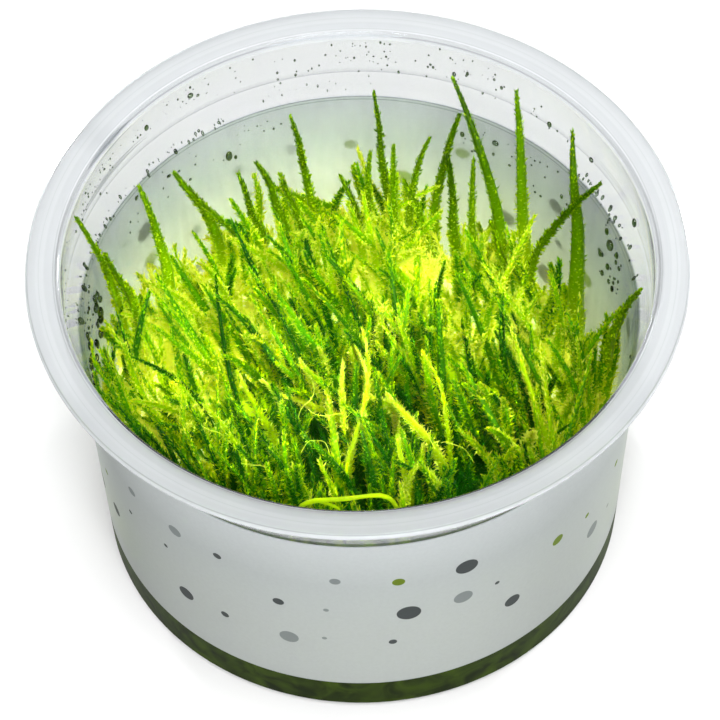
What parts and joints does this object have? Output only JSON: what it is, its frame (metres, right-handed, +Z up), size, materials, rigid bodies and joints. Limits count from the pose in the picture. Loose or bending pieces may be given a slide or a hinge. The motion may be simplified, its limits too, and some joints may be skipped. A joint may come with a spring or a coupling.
{
  "type": "java moss in a culture cup",
  "caption": "Java moss on nutrient gel in a round clear cup with a rim flange and a printed sleeve: a dense turf with long stems along the wall.",
  "frame": {"origin": "centre of the cup's foot, on the surface it stands on", "axes": "+Z up along the cup's axis; the viewer's side of the picture is -Y, and the long stems stand along the wall on the +Y side"},
  "size_m": [0.101, 0.101, 0.0605],
  "materials": {
    "clear_plastic": "clear, slightly milky moulded polypropylene",
    "label_film": "silver-grey printed film, satin, with a dark green band along its foot",
    "gel": "wet translucent jelly",
    "moss": "soft, feathery, translucent green leaves",
    "pale_moss": "smooth yellow-green stem"
  },
  "bodies": {
    "root": {"cup": "clear_plastic", "label": "label_film", "gel": "gel", "moss_mat": "moss", "arching_stem": "pale_moss", "moss_stem_01": "moss", "moss_stem_02": "moss", "moss_stem_03": "moss", "moss_stem_04": "moss", "moss_stem_05": "moss", "moss_stem_06": "moss", "moss_stem_07": "moss", "moss_stem_08": "moss", "moss_stem_09": "moss", "moss_stem_10": "moss", "moss_stem_11": "moss", "moss_stem_12": "moss", "moss_stem_13": "moss", "moss_stem_14": "moss", "moss_stem_15": "moss", "moss_stem_16": "moss", "moss_stem_17": "moss", "moss_stem_18": "moss", "moss_stem_19": "moss", "moss_stem_20": "moss", "moss_stem_21": "moss", "moss_stem_22": "moss", "moss_stem_23": "moss", "moss_stem_24": "moss"}
  },
  "joints": []
}
